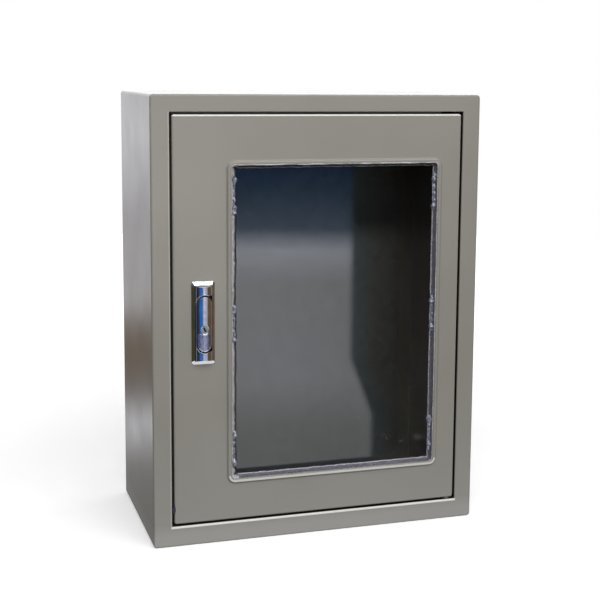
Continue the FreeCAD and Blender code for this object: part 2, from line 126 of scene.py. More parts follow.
offset = add(tree, "SeparateXYZ", {0: offset.outputs["Vector"]})
off_door = add(tree, "Math", {0: offset.outputs["X"], 1: offset.outputs["Z"]}, operation="MAXIMUM")
# Painted shade: the paint is darkened to a near black brown deep in the gap round the door.
deep = add(tree, "MapRange", {"Value": at.outputs["Y"], "From Min": case_low.y,
                              "From Max": case_low.y + gap_shade_depth})
deep = add(tree, "ValToRGB", {"Fac": deep.outputs["Result"]},
           stops=[(0.05, 0.0), (0.15, 1.0), (0.6, 1.0), (1.0, 0.0)])
in_gap = add(tree, "Math", {0: off_door.outputs["Value"], 1: gap_shade_middle, 2: gap_shade_half},
             operation="COMPARE")
gap_shade = add(tree, "Math", {0: deep.outputs["Color"], 1: in_gap.outputs["Value"]}, operation="MULTIPLY")
tone = add(tree, "MixRGB", {"Fac": gap_shade.outputs["Value"], "Color1": tone.outputs["Color"],
                            "Color2": linear("#2b2a27")})
# Painted light: the paint is mixed towards a pale grey near the floor, as light bounced from it.
floor_bounce = add(tree, "MapRange", {"Value": at.outputs["Z"], "From Min": bounce_top, "From Max": bounce_full,
                                 "To Max": 0.11})
tone = add(tree, "MixRGB", {"Fac": floor_bounce.outputs["Result"], "Color1": tone.outputs["Color"],
                            "Color2": linear("#d8dce2")})
upper = add(tree, "Math", {0: at.outputs["Z"], 1: door_middle.z}, operation="GREATER_THAN")
lower = add(tree, "Math", {0: at.outputs["Z"], 1: door_middle.z}, operation="LESS_THAN")
left = add(tree, "Math", {0: at.outputs["X"], 1: door_middle.x}, operation="LESS_THAN")
right = add(tree, "Math", {0: at.outputs["X"], 1: door_middle.x}, operation="GREATER_THAN")
facing = add(tree, "Math", {0: at.outputs["Y"], 1: case_low.y + highlight_depth}, operation="LESS_THAN")
crest = add(tree, "Math", {0: at.outputs["Y"], 1: door_low.y + crest_depth}, operation="LESS_THAN")
# Each row is a painted highlight line, in mm past the door's edge: the axis across it, its middle and half
# width; the axis along it and its end; then its side, its face and how bright it is.
painted_highlights = (
    ("Z", -0.8, 1.1, "X", 0.3, upper, facing, 0.7),      # door's top edge
    ("Z", 3.7, 1.1, "X", 3.6, lower, facing, 0.95),      # jamb below the door
    ("X", 3.3, 0.7, "Z", 3.0, left, facing, 0.32),       # jamb on the left
    ("X", -0.5, 0.7, "Z", 0.3, right, facing, 0.22),     # door's right edge
    ("Z", -45.0, 6.0, "X", -24.0, lower, crest, 0.65),   # bead below the window
)
highlight_mask = 0.0
for across, middle, half, along, end, half_side, on_face, highlight_strength in painted_highlights:
    band = add(tree, "Math", {0: offset.outputs[across], 1: middle * MM, 2: half * MM}, operation="COMPARE")
    ends = add(tree, "Math", {0: offset.outputs[along], 1: end * MM}, operation="LESS_THAN")
    for share in (ends, half_side, on_face):
        band = add(tree, "Math", {0: band.outputs["Value"], 1: share.outputs["Value"]}, operation="MULTIPLY")
    band = add(tree, "Math", {0: band.outputs["Value"], 1: highlight_strength}, operation="MULTIPLY")
    highlight_mask = add(tree, "Math", {0: highlight_mask, 1: band.outputs["Value"]}, operation="MAXIMUM").outputs["Value"]
# Painted highlights: the lines in the table are mixed towards near white.
tone = add(tree, "MixRGB", {"Fac": highlight_mask, "Color1": tone.outputs["Color"], "Color2": linear("#e9e8e2")})
skin = add(tree, "Bump", {"Height": peel.outputs["Fac"], "Strength": 1.0, "Distance": paint_peel_height,
                          "Normal": soft_edge.outputs["Normal"]})
add(tree, shader, {"Base Color": tone.outputs["Color"], "Roughness": gloss.outputs["Result"],
                   "IOR": 1.5, "Normal": skin.outputs["Normal"]})
dress(paint, "case_shell")

# Mounting plate: a flat sheet that carries the meter, cut with round corners from hot-dip
# galvanised steel and hung on four studs that are welded to the back of the case.

# Galvanised steel shows flat crystals of zinc about 12 mm across, each a slightly different grey.
spangle_size = 12 * MM
grit_size = 1.5 * MM        # real grit is finer, drawn coarser so that it shows

galvanised, tree, shader, place = new_finish("galvanised_steel_spangled")
spangle = add(tree, "TexVoronoi", {"Vector": place, "Scale": 1 / spangle_size})
facet = add(tree, "SeparateColor", {"Color": spangle.outputs["Color"]})
tone = add(tree, "ValToRGB", {"Fac": facet.outputs["Red"]},
           stops=[(0.0, linear("#787c7f")), (1.0, linear("#83878a"))])
sheen = add(tree, "MapRange", {"Value": facet.outputs["Green"], "To Min": 0.46, "To Max": 0.54})
grit = add(tree, "TexNoise", {"Vector": place, "Scale": 1 / grit_size, "Detail": 2.0})
skin = add(tree, "Bump", {"Height": grit.outputs["Fac"], "Strength": 0.3, "Distance": 0.005 * MM})
add(tree, shader, {"Base Color": tone.outputs["Color"], "Metallic": 1.0,
                   "Roughness": sheen.outputs["Result"], "Normal": skin.outputs["Normal"]})
dress(galvanised, "mounting_plate")

# Plate fixings: M6 studs in yellow-passivated zinc, plain spacers, washers and hexagon
# nuts in bright zinc. The nuts clamp the plate against the spacers.

# Yellow passivated zinc is a thin gold-green film over bright steel, stronger in some patches.
film_patch = 4 * MM
stud_edge = 1.2 * MM        # the stud's end is rounded by this much

yellow_zinc, tree, shader, place = new_finish("zinc_plate_yellow_passivated")
film = add(tree, "TexNoise", {"Vector": place, "Scale": 1 / film_patch, "Detail": 2.0})
tone = add(tree, "ValToRGB", {"Fac": film.outputs["Fac"]},
           stops=[(0.3, linear("#c9b65e")), (0.5, linear("#d8cc95")), (0.7, linear("#b9a877"))])
sheen = add(tree, "MapRange", {"Value": film.outputs["Fac"], "To Min": 0.15, "To Max": 0.35})
soft_edge = add(tree, "Bevel", {"Radius": stud_edge}, samples=edge_samples)
skin = add(tree, "Bump", {"Height": film.outputs["Fac"], "Strength": 0.4, "Distance": 0.02 * MM,
                          "Normal": soft_edge.outputs["Normal"]})
add(tree, shader, {"Base Color": tone.outputs["Color"], "Metallic": 1.0,
                   "Roughness": sheen.outputs["Result"], "Normal": skin.outputs["Normal"]})
dress(yellow_zinc, "plate_studs")

# Bright zinc plate is a bluish silver with fine tumbling marks and duller stains.
zinc_stain = 7 * MM
tumble_mark = 0.9 * MM      # real marks are finer, drawn coarser so that they show

bright_zinc, tree, shader, place = new_finish("zinc_plate_bright_tumbled")
stain = add(tree, "TexNoise", {"Vector": place, "Scale": 1 / zinc_stain, "Detail": 3.0})
tone = add(tree, "ValToRGB", {"Fac": stain.outputs["Fac"]},
           stops=[(0.35, linear("#a9adb2")), (0.65, linear("#c3c6c9"))])
sheen = add(tree, "MapRange", {"Value": stain.outputs["Fac"], "To Min": 0.42, "To Max": 0.22})
marks = add(tree, "TexNoise", {"Vector": place, "Scale": 1 / tumble_mark, "Detail": 2.0})
skin = add(tree, "Bump", {"Height": marks.outputs["Fac"], "Strength": 0.5, "Distance": 0.015 * MM})
add(tree, shader, {"Base Color": tone.outputs["Color"], "Metallic": 1.0,
                   "Roughness": sheen.outputs["Result"], "Normal": skin.outputs["Normal"]})
dress(bright_zinc, "plate_spacers", "plate_washers", "plate_nuts")

# Hinge: turned shoulder pins riveted through the jamb above and below the door, and the
# bush blocks in the door's corners that turn on them. Zinc plated steel, gone dull with grease.

# Greased dull zinc is a flat mouse grey with darker stains; the upper pin is painted near black.
grease_stain = 3 * MM

dull_zinc, tree, shader, place = new_finish("zinc_plate_dull_greased")
stain = add(tree, "TexNoise", {"Vector": place, "Scale": 1 / grease_stain, "Detail": 3.0})
tone = add(tree, "ValToRGB", {"Fac": stain.outputs["Fac"]},
           stops=[(0.35, linear("#65645f")), (0.65, linear("#85847d"))])
at = add(tree, "SeparateXYZ", {0: place})
# The pin above the door's middle is painted near black.
painted_dark = add(tree, "Math", {0: at.outputs["Z"], 1: door_middle.z}, operation="GREATER_THAN")
tone = add(tree, "MixRGB", {"Fac": painted_dark.outputs["Value"], "Color1": tone.outputs["Color"],
                            "Color2": linear("#1b1a18")})
sheen = add(tree, "MapRange", {"Value": stain.outputs["Fac"], "To Min": 0.48, "To Max": 0.62})
skin = add(tree, "Bump", {"Height": stain.outputs["Fac"], "Strength": 0.5, "Distance": 0.03 * MM})
add(tree, shader, {"Base Color": tone.outputs["Color"], "Metallic": 1.0,
                   "Roughness": sheen.outputs["Result"], "Normal": skin.outputs["Normal"]})
dress(dull_zinc, "hinge_pins", "hinge_bushes")

# Door: a pan folded from the same sheet, with a bead pressed out round its window and a
# cut-out for the handle. Coated with the case.

dress(paint, "door_panel")

# Window seal: clear silicone run round between the door and the pane and wiped to a slope,
# wider on the left. It stands in for the plain ring of the CAD model.

pane_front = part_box("window_pane")[0].y
seal_low, seal_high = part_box("pane_sealant")
seal_lap = 7.0 * MM         # how far the silicone reaches behind the sheet's edge
seal_shows = 3.6 * MM       # how far its slope reaches over the pane
seal_spread = 3.0 * MM      # how much further it was wiped on the left
seal_step = 1.1 * MM
sheet_t = 1.5 * MM
opening_r = 4.0 * MM
roll_r = 2.2 * MM           # the bead rolls back to the opening with this radius
lip_t = 0.85 * MM
hair = 0.02 * MM            # keeps two faces from lying in one another
sheet_back = seal_low.y
sheet_front = sheet_back - sheet_t
open_left = seal_low.x + seal_lap
open_right = seal_high.x - seal_lap
open_low = seal_low.z + seal_lap
open_high = seal_high.z - seal_lap


def edge_points(x0, x1, z0, z1, r, step):
    """Points along a rounded rectangle, each with its direction inwards."""
    points = []
    corners = [(x1 - r, z0 + r, -90), (x1 - r, z1 - r, 0), (x0 + r, z1 - r, 90), (x0 + r, z0 + r, 180)]
    arc = 6
    for i, (x, z, start) in enumerate(corners):
        for j in range(arc + 1):
            turn = math.radians(start + 90 * j / arc)
            points.append((x + r * math.cos(turn), z + r * math.sin(turn), -math.cos(turn), -math.sin(turn)))
        here = points[-1]
        x2, z2, start2 = corners[(i + 1) % 4]
        turn = math.radians(start2)
        there = (x2 + r * math.cos(turn), z2 + r * math.sin(turn))
        run = math.hypot(there[0] - here[0], there[1] - here[1])
        count = int(run / step)
        for j in range(1, count):
            share = j / count
            points.append((here[0] + (there[0] - here[0]) * share, here[1] + (there[1] - here[1]) * share,
                           here[2], here[3]))
    return points


def waver(place, size, seed):
    """Smooth unevenness between -1 and 1 with bumps of a given size."""
    return noise.noise(Vector((place[0] / size + seed, place[1] / size - seed, seed * 1.7)))


def join_rows(shape, rows, closed):
    """Joins rows of points to a tube, closed to a ring or capped at both ends."""
    rows = [[shape.verts.new(point) for point in row] for row in rows]
    if closed:
        rows.append(rows[0])
    else:
        shape.faces.new(rows[0])
    for row, after in zip(rows, rows[1:]):
        for j in range(len(row)):
            k = (j + 1) % len(row)
            shape.faces.new((row[j], row[k], after[k], after[j]))
    if not closed:
        shape.faces.new(rows[-1])


def as_piece(name, shape, smooth):
    """Turns a finished shape into a piece of the scene, shaded smooth or flat."""
    bmesh.ops.recalc_face_normals(shape, faces=shape.faces)
    mesh = bpy.data.meshes.new(name)
    shape.to_mesh(mesh)
    shape.free()
    for face in mesh.polygons:
        face.use_smooth = smooth
    piece = bpy.data.objects.new(name, mesh)
    bpy.context.scene.collection.objects.link(piece)
    return piece


def on_roll(degrees, lift):
    """Place on the bead's inner roll, as the distance into the opening and y."""
    turn = math.radians(degrees)
    reach = roll_r + lift
    return reach * math.cos(turn) - roll_r, door_low.y + roll_r - reach * math.sin(turn)


# The smear climbs the bead's roll most at the top, half as far at the sides and least below.
rows = []
for x, z, in_x, in_z in edge_points(open_left, open_right, open_low, open_high, opening_r, seal_step):
    hang = 0.2 + 0.8 * max(0.0, -in_z) + 0.3 * abs(in_x)
    smear = hang * (60 + 16 * waver((x, z), 17 * MM, 1.3) + 7 * waver((x, z), 3 * MM, 6.1))
    lip = hang * lip_t * max(0.12, 0.65 + 0.9 * waver((x, z), 13 * MM, 8.4))
    wide = seal_shows + seal_spread * max(0.0, in_x)
    wide = wide * (1 + 0.16 * waver((x, z), 9 * MM, 3.1) + 0.10 * waver((x, z), 2.2 * MM, 7.7))
    fat = 0.35 * MM * waver((x, z), 4 * MM, 5.3) + 0.22 * MM * waver((x, z), 1.6 * MM, 9.1)
    depth = pane_front - sheet_front
    profile = [
        (-seal_lap, pane_front - hair),
        (-seal_lap, sheet_back + hair),
        (-hair, sheet_back + hair),
        (hair, sheet_back),
        on_roll(0, hair),
        on_roll(0.5 * smear, hair),
        on_roll(smear, hair),
        on_roll(0.9 * smear, 0.6 * lip),
        on_roll(0.6 * smear, lip),
        on_roll(0.25 * smear, 0.8 * lip),
        (0.06 * wide, sheet_front + 0.04 * depth),
        (0.10 * wide, sheet_front + 0.16 * depth - 0.5 * fat),
        (0.28 * wide, sheet_front + 0.42 * depth - fat),
        (0.55 * wide, sheet_front + 0.68 * depth - 1.4 * fat),
        (0.84 * wide, sheet_front + 0.86 * depth - fat),
        (wide, pane_front - hair),
    ]
    rows.append([(x + in_x * n, y, z + in_z * n) for n, y in profile])
shape = bmesh.new()
join_rows(shape, rows, closed=True)
seal = as_piece("window_seal", shape, smooth=True)

# Wiped clear silicone is painted near black where it lies deep between the bead and the pane, as shade
# there, with a pale lip smeared on the bead and a pale grainy foot painted as highlights. The left slope
# is wiped thin and pale; dust and painted light lie on the lower strip, and less on the right-hand one.
seal_grain = 1.1 * MM
left_strip = 8.5 * MM       # the strips' widths, past the sheet's edge
dust_and_light_starts = 7.5 * MM
dust_and_light_covers = 5.5 * MM

silicone, tree, shader, place = new_finish("silicone_clear_wiped")
at = add(tree, "SeparateXYZ", {0: place})
grain = add(tree, "TexNoise", {"Vector": place, "Scale": 1 / seal_grain, "Detail": 3.0, "Roughness": 0.7})
# Painted highlights and shade: pale at the lip and the foot, near black deep in the gap between them.
depth_share = add(tree, "MapRange", {"Value": at.outputs["Y"], "From Min": door_low.y,
                                     "From Max": pane_front})
light_and_shade = add(tree, "ValToRGB", {"Fac": depth_share.outputs["Result"]},
           stops=[(0.2, 0.95), (0.27, 0.04), (0.8, 0.03), (0.9, 0.9)])
wiped = add(tree, "ValToRGB", {"Fac": depth_share.outputs["Result"]}, stops=[(0.74, 0.85), (0.9, 0.15)])
on_left = add(tree, "Math", {0: at.outputs["X"], 1: open_left + left_strip}, operation="LESS_THAN")
light_and_shade = add(tree, "MixRGB", {"Fac": on_left.outputs["Value"], "Color1": light_and_shade.outputs["Color"],
                            "Color2": wiped.outputs["Color"]})
# Dust and painted light: the lower strip and, less, the right-hand one are mixed towards pale.
below = add(tree, "MapRange", {"Value": at.outputs["Z"], "From Min": open_low + dust_and_light_starts,
                               "From Max": open_low + dust_and_light_covers, "To Max": 0.46})
beside = add(tree, "MapRange", {"Value": at.outputs["X"], "From Min": open_right - dust_and_light_starts,
                                "From Max": open_right - dust_and_light_covers, "To Max": 0.42})
dust_and_light = add(tree, "Math", {0: below.outputs["Result"], 1: beside.outputs["Result"]}, operation="MAXIMUM")
dust_and_light = add(tree, "Math", {0: dust_and_light.outputs["Value"], 1: light_and_shade.outputs["Color"]}, operation="MAXIMUM")
speckle = add(tree, "MapRange", {"Value": grain.outputs["Fac"], "From Min": 0.34, "From Max": 0.66,
                                 "To Min": 0.35, "To Max": 1.3})
dust_and_light = add(tree, "Math", {0: dust_and_light.outputs["Value"], 1: speckle.outputs["Result"]}, operation="MULTIPLY")
tone = add(tree, "ValToRGB", {"Fac": dust_and_light.outputs["Value"]},
           stops=[(0.0, linear("#141418")), (0.4, linear("#57565e")), (1.0, linear("#e4e3ea"))])
sheen = add(tree, "MapRange", {"Value": grain.outputs["Fac"], "To Min": 0.24, "To Max": 0.40})
skin = add(tree, "Bump", {"Height": grain.outputs["Fac"], "Strength": 0.7, "Distance": 0.2 * MM})
add(tree, shader, {"Base Color": tone.outputs["Color"], "Roughness": sheen.outputs["Result"], "IOR": 1.41,
                   "Normal": skin.outputs["Normal"]})
seal.data.materials.append(silicone)
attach(seal, "door")
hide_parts("pane_sealant")

# Window pane: a sheet of clear cast acrylic, 3 mm thick, sawn to size and laid on the seal
# from behind, where the seal's silicone holds it.

# Polished acrylic is clear with a grey tint and mirrors what is in front; dust lies on it as pale
# specks. Its roughness is exactly nought between them, so that its mirror image stays sharp.
speck_cell = 16 * MM
speck_size = 0.45 * MM
dust_haze = 35 * MM

acrylic, tree, shader, place = new_finish("acrylic_clear_polished")
cells = add(tree, "TexVoronoi", {"Vector": place, "Scale": 1 / speck_cell, "Randomness": 1.0})
speck = add(tree, "MapRange", {"Value": cells.outputs["Distance"], "From Min": speck_size / speck_cell,
                               "From Max": 0.5 * speck_size / speck_cell, "To Min": 0.0, "To Max": 0.55})
haze = add(tree, "TexNoise", {"Vector": place, "Scale": 1 / dust_haze, "Detail": 3.0})
film = add(tree, "MapRange", {"Value": haze.outputs["Fac"], "From Min": 0.4, "From Max": 0.8,
                              "To Min": 0.0, "To Max": 0.004})
dust = add(tree, "Math", {0: speck.outputs["Result"], 1: film.outputs["Result"]}, operation="MAXIMUM")
clear = add(tree, "Math", {0: 1.0, 1: dust.outputs["Value"]}, operation="SUBTRACT")
tone = add(tree, "ValToRGB", {"Fac": dust.outputs["Value"]},
           stops=[(0.0, linear("#adb2b6")), (0.2, linear("#c9c6bd"))])
polish = add(tree, "MapRange", {"Value": speck.outputs["Result"], "To Min": 0.0, "To Max": 0.4})
add(tree, shader, {"Base Color": tone.outputs["Color"], "Roughness": polish.outputs["Result"], "IOR": 1.49,
                   "Transmission Weight": clear.outputs["Value"]})
dress(acrylic, "window_pane")

# Glue: six short beads of clear hot-melt run over the seal at the pane's upright edges,
# with a fat blob where the nozzle started and stopped.

glue_low, glue_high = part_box("glue_beads")
glue_l = 44.0 * MM
glue_blob = 3.7 * MM        # half width of the blobs
glue_thin = 1.5 * MM        # half width between them
blob_at = 0.13              # from an end to its blob, as a share of the length
glue_pulse = 0.6 * MM       # the bead swells and thins as the gun pumps
glue_pulses = 37            # their angle over the whole length, in radians
glue_lumps = 0.5 * MM
glue_sway = 0.6 * MM
glue_rows = 64
glue_sides = 16
glue_middle = (glue_low.z + glue_high.z) / 2
glue_reach = (glue_high.z - glue_low.z - glue_l) / 2
slope_y = (sheet_back + pane_front) / 2

shape = bmesh.new()
for edge, inside in ((open_left, 1), (open_right, -1)):
    slope_w = seal_shows + seal_spread * max(0, inside)
    slope_in = 0.5 * slope_w
    slope_turn = math.atan2(pane_front - sheet_back, slope_w)
    for spot in (-1, 0, 1):
        seed = 4.3 * inside + 1.9 * spot
        rows = []
        for i in range(glue_rows + 1):
            along = i / glue_rows
            z = glue_middle + spot * glue_reach + glue_l * (along - 0.5)
            start = max(0.0, 1 - abs(along - blob_at) / blob_at)
            stop = max(0.0, 1 - abs(along - (1 - blob_at)) / blob_at)
            swell = glue_thin + (glue_blob - glue_thin) * min(1.0, 1.5 * (start + stop))
            lumps = glue_pulse * math.sin(along * glue_pulses + seed)
            lumps = lumps + glue_lumps * waver((along, seed), 0.09, seed)
            close = math.sqrt(max(0.0, 1 - (2 * along - 1) ** 12))
            r = max(hair, (swell + lumps) * close)
            sway = glue_sway * waver((along, seed), 0.3, seed + 11)
            row = []
            for j in range(glue_sides):
                turn = math.pi * j / (glue_sides - 1)
                fat = r * (1 + 0.10 * waver((along * 3, turn), 0.7, seed))
                along_slope = -0.85 * fat * math.cos(turn)
                off_slope = fat * math.sin(turn)
                inward = along_slope * math.cos(slope_turn) + off_slope * math.sin(slope_turn)
                deeper = along_slope * math.sin(slope_turn) - off_slope * math.cos(slope_turn)
                row.append((edge + inside * max(hair, slope_in + sway + inward),
                            min(slope_y + deeper, pane_front - hair), z))
            rows.append(row)
        join_rows(shape, rows, closed=False)
glue = as_piece("glue_drops", shape, smooth=True)

# Clear hot-melt is a cloudy, wet-looking gel: light goes in, its crests flash white.
glue_cloud = 2.5 * MM

hot_melt, tree, shader, place = new_finish("hot_melt_glue_clear")
cloud = add(tree, "TexNoise", {"Vector": place, "Scale": 1 / glue_cloud, "Detail": 2.0})
tone = add(tree, "ValToRGB", {"Fac": cloud.outputs["Fac"]},
           stops=[(0.3, linear("#5d6278")), (0.55, linear("#9599ab")), (0.72, linear("#dcdee8"))])
milk = add(tree, "MapRange", {"Value": cloud.outputs["Fac"], "From Min": 0.3, "From Max": 0.7,
                              "To Min": 0.6, "To Max": 0.15})
wet = add(tree, "MapRange", {"Value": cloud.outputs["Fac"], "To Min": 0.06, "To Max": 0.18})
skin = add(tree, "Bump", {"Height": cloud.outputs["Fac"], "Strength": 0.5, "Distance": 0.3 * MM})
add(tree, shader, {"Base Color": tone.outputs["Color"], "Roughness": wet.outputs["Result"], "IOR": 1.48,
                   "Transmission Weight": milk.outputs["Result"], "Normal": skin.outputs["Normal"]})
glue.data.materials.append(hot_melt)
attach(glue, "door")
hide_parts("glue_beads")

# Handle: a die-cast bezel and lever that lie flush in a half-round ridge; the button in the
# lever's tip lets it spring out, and turning it swings the latch cam. Chrome plated zinc.

seat_gap = 0.3 * MM         # room between the lever and its seat
rim_proud = 3.5 * MM        # how far the bezel's rim stands in front of the case
seat_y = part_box("handle_lever")[1].y + seat_gap
rim_y = case_low.y - rim_proud

# Bright chrome is a blue-white mirror; the casting under it leaves slow waves, and handling
# leaves a haze. The seat under the lever is painted near black, as shade in its groove.
touch_size = 9 * MM
cast_wave = 3.5 * MM
chrome_edge = 0.5 * MM

chrome, tree, shader, place = new_finish("chrome_plate_on_zinc_casting")
touch = add(tree, "TexNoise", {"Vector": place, "Scale": 1 / touch_size, "Detail": 3.0})
tone = add(tree, "ValToRGB", {"Fac": touch.outputs["Fac"]},
           stops=[(0.3, linear("#d4d6da")), (0.7, linear("#e2e4e8"))])
haze = add(tree, "MapRange", {"Value": touch.outputs["Fac"], "From Min": 0.35, "From Max": 0.75,
                              "To Min": 0.06, "To Max": 0.13})
at = add(tree, "SeparateXYZ", {0: place})
# Painted shade: the seat's depth under the lever is darkened to near black.
seat_shade = add(tree, "Math", {0: at.outputs["Y"], 1: (seat_y + rim_y) / 2 - 0.1 * MM,
                          2: (rim_y - seat_y) / 2}, operation="COMPARE")
tone = add(tree, "MixRGB", {"Fac": seat_shade.outputs["Value"], "Color1": tone.outputs["Color"],
                            "Color2": linear("#1a1a1d")})
waves = add(tree, "TexNoise", {"Vector": place, "Scale": 1 / cast_wave, "Detail": 1.0})
soft_edge = add(tree, "Bevel", {"Radius": chrome_edge}, samples=edge_samples)
skin = add(tree, "Bump", {"Height": waves.outputs["Fac"], "Strength": 0.5, "Distance": 0.05 * MM,
                          "Normal": soft_edge.outputs["Normal"]})
add(tree, shader, {"Base Color": tone.outputs["Color"], "Metallic": 1.0, "Roughness": haze.outputs["Result"],
                   "Normal": skin.outputs["Normal"]})
dress(chrome, "handle_base", "handle_rotor", "handle_lever", "lever_pin")

# Push button: a small casting in the lever's lower end, chrome plated like the lever and
# pressed in against its spring. Its face is bare.

# Chrome worn satin by use is a soft blue-grey sheen with fine rubbing marks along the button.
rub_pitch = 0.8 * MM        # real marks are finer, drawn coarser so that they show
rub_stretch = (1.0, 1.0, 0.25)

satin, tree, shader, place = new_finish("chrome_plate_worn_satin")
stretched = add(tree, "VectorMath", {0: place, 1: rub_stretch}, operation="MULTIPLY")
rub = add(tree, "TexNoise", {"Vector": stretched.outputs["Vector"], "Scale": 1 / rub_pitch, "Detail": 2.0})
tone = add(tree, "ValToRGB", {"Fac": rub.outputs["Fac"]},
           stops=[(0.3, linear("#777c90")), (0.7, linear("#a3a7ba"))])
haze = add(tree, "MapRange", {"Value": rub.outputs["Fac"], "To Min": 0.22, "To Max": 0.38})
skin = add(tree, "Bump", {"Height": rub.outputs["Fac"], "Strength": 0.6, "Distance": 0.06 * MM})
add(tree, shader, {"Base Color": tone.outputs["Color"], "Metallic": 1.0, "Roughness": haze.outputs["Result"],
                   "Normal": skin.outputs["Normal"]})
dress(satin, "push_button")

# Key plug: the lock's round barrel in the lever, turned from brass bar, slotted for the key
# and nickel plated. It turns in its bore.

plug_low, plug_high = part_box("key_plug")
plug_axis = ((plug_low.x + plug_high.x) / 2, 0.0, (plug_low.z + plug_high.z) / 2)

# Satin nickel is a warm grey metal with fine turning rings; its keyway is painted near black as shade.
turning_pitch = 0.55 * MM   # real rings are about 0.1 mm apart, drawn coarser so that they show
nickel_patch = 3 * MM
shade_starts = 0.35 * MM   # depths behind the plug's face
shade_fills = 0.6 * MM

nickel, tree, shader, place = new_finish("nickel_plate_satin_turned")
centre = add(tree, "VectorMath", {0: place, 1: plug_axis}, operation="SUBTRACT")
flat = add(tree, "VectorMath", {0: centre.outputs["Vector"], 1: (1.0, 0.0, 1.0)}, operation="MULTIPLY")
radius = add(tree, "VectorMath", {0: flat.outputs["Vector"]}, operation="LENGTH")
turned = add(tree, "Math", {0: radius.outputs["Value"], 1: 2 * math.pi / turning_pitch}, operation="MULTIPLY")
rings = add(tree, "Math", {0: turned.outputs["Value"]}, operation="SINE")
patch = add(tree, "TexNoise", {"Vector": place, "Scale": 1 / nickel_patch, "Detail": 2.0})
tone = add(tree, "ValToRGB", {"Fac": patch.outputs["Fac"]},
           stops=[(0.3, linear("#777c7d")), (0.7, linear("#8f9495"))])
at = add(tree, "SeparateXYZ", {0: place})
# Painted shade: the keyway, deeper than the plug's face, is darkened to near black.
painted_dark = add(tree, "MapRange", {"Value": at.outputs["Y"], "From Min": plug_low.y + shade_starts,
                                "From Max": plug_low.y + shade_fills})
tone = add(tree, "MixRGB", {"Fac": painted_dark.outputs["Result"], "Color1": tone.outputs["Color"],
                            "Color2": linear("#0b0b0c")})
haze = add(tree, "MapRange", {"Value": patch.outputs["Fac"], "To Min": 0.26, "To Max": 0.42})
skin = add(tree, "Bump", {"Height": rings.outputs["Value"], "Strength": 0.4, "Distance": 0.02 * MM})
add(tree, shader, {"Base Color": tone.outputs["Color"], "Metallic": 1.0, "Roughness": haze.outputs["Result"],
                   "Normal": skin.outputs["Normal"]})
dress(nickel, "key_plug")

# Latch and clamp behind the door: pressed cam, washer and nut on the rotor, a channel bracket
# and two slotted screws that hold the handle. Bright zinc plated steel.

dress(bright_zinc, "cam", "cam_washer", "cam_nut", "handle_bracket", "bracket_screws")

# Scrap of film: a torn bit of the blue protective film that coated sheet is wrapped in, left
# caught on the door's left edge, low in the gap.

scrap_at = Vector((door_low.x, case_low.y - hair, 43.0 * MM))
scrap_l = 9.5 * MM
scrap_w = 3.4 * MM
scrap_t = 0.12 * MM
scrap_lift = 0.2 * MM       # how far its free edge stands off
scrap_curl = 0.7 * MM
scrap_rows = 14

rows = []
for i in range(scrap_rows + 1):
    along = i / scrap_rows - 0.5
    wide = scrap_w * (1 - 3.2 * along * along) * (1 + 0.35 * waver((along, 0.4), 0.12, 2.2))
    lift = scrap_lift + 0.4 * abs(scrap_curl * math.sin(along * 5 + 0.6))
    z = scrap_at.z + along * scrap_l
    rows.append([
        (scrap_at.x - 0.6 * wide, scrap_at.y - lift, z),
        (scrap_at.x + 0.4 * wide, scrap_at.y, z),
        (scrap_at.x + 0.4 * wide, scrap_at.y - scrap_t, z),
        (scrap_at.x - 0.6 * wide, scrap_at.y - scrap_t - lift, z),
    ])
shape = bmesh.new()
join_rows(shape, rows, closed=False)
scrap = as_piece("film_scrap", shape, smooth=False)

# Torn polyethylene film: deep blue, paler and whitened where it was stretched.
film_stretch = 1.6 * MM

film_blue, tree, shader, place = new_finish("polyethylene_film_blue_torn")
stretch = add(tree, "TexNoise", {"Vector": place, "Scale": 1 / film_stretch, "Detail": 2.0})
tone = add(tree, "ValToRGB", {"Fac": stretch.outputs["Fac"]},
           stops=[(0.35, linear("#03051a")), (0.7, linear("#0b103c"))])
sheen = add(tree, "MapRange", {"Value": stretch.outputs["Fac"], "To Min": 0.4, "To Max": 0.6})
skin = add(tree, "Bump", {"Height": stretch.outputs["Fac"], "Strength": 0.6, "Distance": 0.1 * MM})
add(tree, shader, {"Base Color": tone.outputs["Color"], "Roughness": sheen.outputs["Result"], "IOR": 1.51,
                   "Normal": skin.outputs["Normal"]})
scrap.data.materials.append(film_blue)
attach(scrap, "door")

# Studio floor: a round sheet of opal acrylic, lit through from below. Only the eye sees it;
# the part's polished faces mirror the surround instead.

floor_r = 2.6
floor_sides = 96
floor_near = 0.4            # it glows weaker within this of the box, a painted shadow, in metres
floor_far = 1.2             # and at its full strength beyond this
rim = []
for i in range(floor_sides):
    around = 2 * math.pi * i / floor_sides
    rim.append((floor_r * math.cos(around), floor_r * math.sin(around), 0.0))
mesh = bpy.data.meshes.new("floor")
mesh.from_pydata(rim, [], [tuple(range(floor_sides))])
floor = bpy.data.objects.new("floor", mesh)
bpy.context.scene.collection.objects.link(floor)
floor.visible_diffuse = False
floor.visible_glossy = False
floor.visible_transmission = False

# Matt opal acrylic is an even white that takes a soft shadow near the box and none far from it;
# its glow is weaker near the box, a painted shadow there.
opal_cloud = 30 * MM

opal, tree, shader, place = new_finish("acrylic_white_matt_lit_through")
cloud = add(tree, "TexNoise", {"Vector": place, "Scale": 1 / opal_cloud, "Detail": 3.0})
tone = add(tree, "ValToRGB", {"Fac": cloud.outputs["Fac"]},
           stops=[(0.3, linear("#f4f4f4")), (0.7, linear("#f7f7f7"))])
